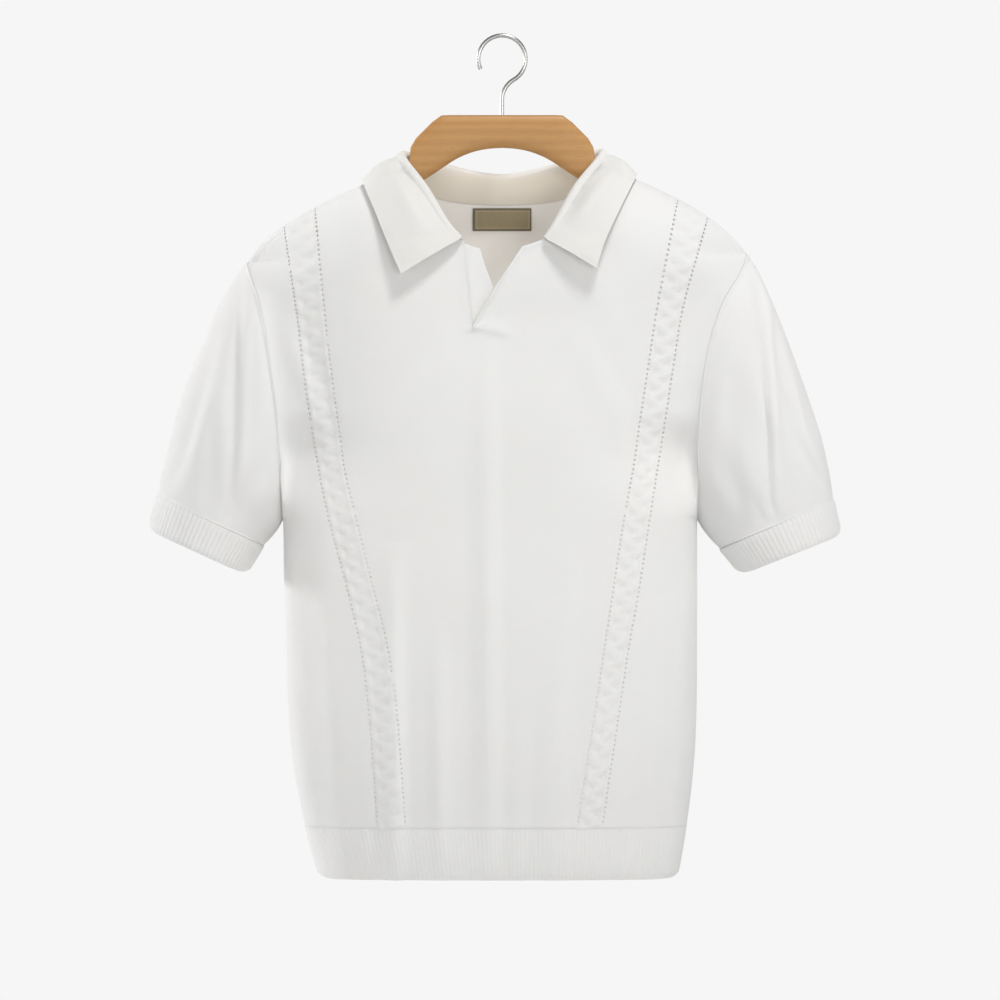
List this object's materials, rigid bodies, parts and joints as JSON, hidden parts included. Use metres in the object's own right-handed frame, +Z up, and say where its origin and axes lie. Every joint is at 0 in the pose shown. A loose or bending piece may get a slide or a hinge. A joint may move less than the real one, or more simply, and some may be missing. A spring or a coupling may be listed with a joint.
{
  "type": "polo shirt on a hanger",
  "caption": "Knitted short sleeve polo shirt with a soft open collar, eyelet lines, ribbed cuffs and ribbed hem, hung on a wooden hanger.",
  "frame": {"origin": "inside of the hook's crown, where the hanger hangs on a rail", "axes": "+Z up the hook's stem; -Y out of the shirt's front; +X towards the wearer's left sleeve"},
  "size_m": [0.6433, 0.1634, 0.7849],
  "materials": {
    "knit": "fine ivory knit, matt",
    "rib": "ivory rib knit, matt",
    "label": "woven khaki tape, left bare",
    "wood": "honey coloured, satin varnish",
    "metal": "plain steel wire"
  },
  "bodies": {
    "root": {"front": "knit", "placket_under": "knit", "back": "knit", "sleeve_a": "knit", "sleeve_b": "knit", "cuff_a": "rib", "cuff_b": "rib", "hem_front": "rib", "hem_back": "rib", "collar_a": "knit", "collar_b": "knit", "label": "label", "hanger": "wood", "hook": "metal"}
  },
  "joints": []
}
